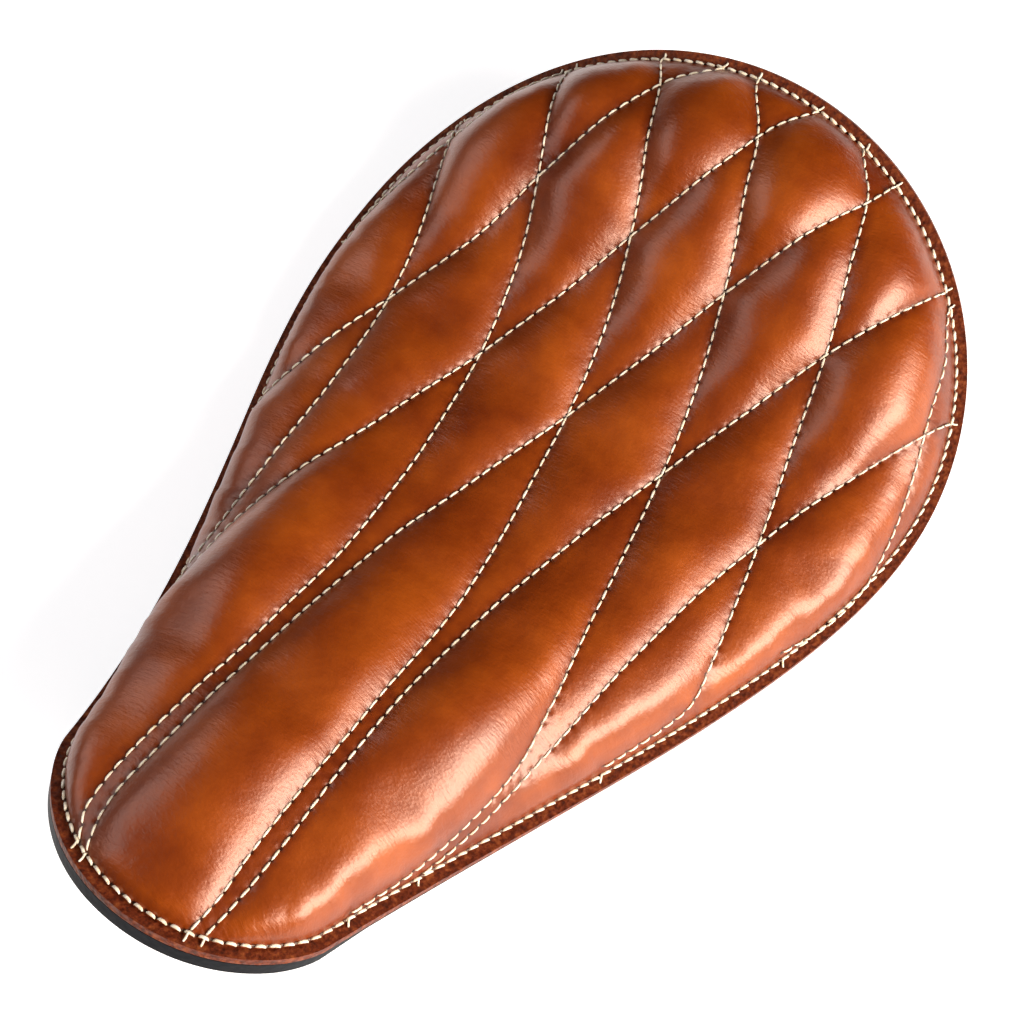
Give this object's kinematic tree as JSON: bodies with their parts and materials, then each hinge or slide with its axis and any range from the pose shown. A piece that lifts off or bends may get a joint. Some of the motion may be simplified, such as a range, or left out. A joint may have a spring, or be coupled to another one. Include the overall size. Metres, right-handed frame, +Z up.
{
  "type": "motorcycle seat",
  "caption": "Solo motorcycle seat: dished pan, diamond-quilted leather pad sewn to a leather edge, front hinge tongue and two rear spring perches.",
  "frame": {"origin": "on the ground plane under the middle of the seat's box; the flat middle of the pan's underside lies on that plane", "axes": "+Z up, +Y from the nose to the rear, +X to the rider's right"},
  "size_m": [0.25, 0.3834, 0.0664],
  "materials": {
    "cover_leather": "satin",
    "edge_leather": "satin",
    "pan_laminate": "satin",
    "core_foam": "matte",
    "quilt_foam": "matte",
    "thread": "matte",
    "black_steel": "satin",
    "zinc_steel": "satin",
    "bronze": "satin"
  },
  "bodies": {
    "seat": {"seat_pan": "pan_laminate", "base_leather": "edge_leather", "foam_core": "core_foam", "quilt_foam": "quilt_foam", "quilted_cover": "cover_leather", "edge_seam_thread": "thread", "hinge_bracket": "black_steel", "pivot_bolt": "zinc_steel", "pivot_lock_nut": "zinc_steel", "pivot_washer_1": "zinc_steel", "pivot_washer_2": "zinc_steel", "spring_perch_left": "black_steel", "spring_perch_right": "black_steel", "spring_weld_nut_left": "zinc_steel", "spring_weld_nut_right": "zinc_steel", "tee_nut_1": "zinc_steel", "tee_nut_2": "zinc_steel", "tee_nut_3": "zinc_steel", "tee_nut_4": "zinc_steel", "tee_nut_5": "zinc_steel", "tee_nut_6": "zinc_steel", "tee_nut_7": "zinc_steel", "pad_screw_1": "zinc_steel", "pad_screw_2": "zinc_steel", "pad_screw_3": "zinc_steel", "pad_screw_4": "zinc_steel", "pad_screw_5": "zinc_steel", "pad_screw_6": "zinc_steel", "pad_screw_7": "zinc_steel", "hinge_bolt_1": "zinc_steel", "hinge_bolt_2": "zinc_steel", "hinge_bolt_3": "zinc_steel", "hinge_bolt_4": "zinc_steel", "hinge_nut_1": "zinc_steel", "hinge_nut_2": "zinc_steel", "hinge_nut_3": "zinc_steel", "hinge_nut_4": "zinc_steel", "perch_bolt_1": "zinc_steel", "perch_bolt_2": "zinc_steel", "perch_bolt_3": "zinc_steel", "perch_bolt_4": "zinc_steel", "perch_nut_1": "zinc_steel", "perch_nut_2": "zinc_steel", "perch_nut_3": "zinc_steel", "perch_nut_4": "zinc_steel"},
    "tongue": {"frame_tongue": "black_steel", "pivot_bush_left": "bronze", "pivot_bush_right": "bronze"}
  },
  "joints": [
    {"name": "tongue_hinge", "type": "hinge", "parent": "seat", "child": "tongue", "pos_m": [0, -0.15057, 0.0095], "axis": [1, 0, 0], "range_deg": [-20, 75]}
  ]
}
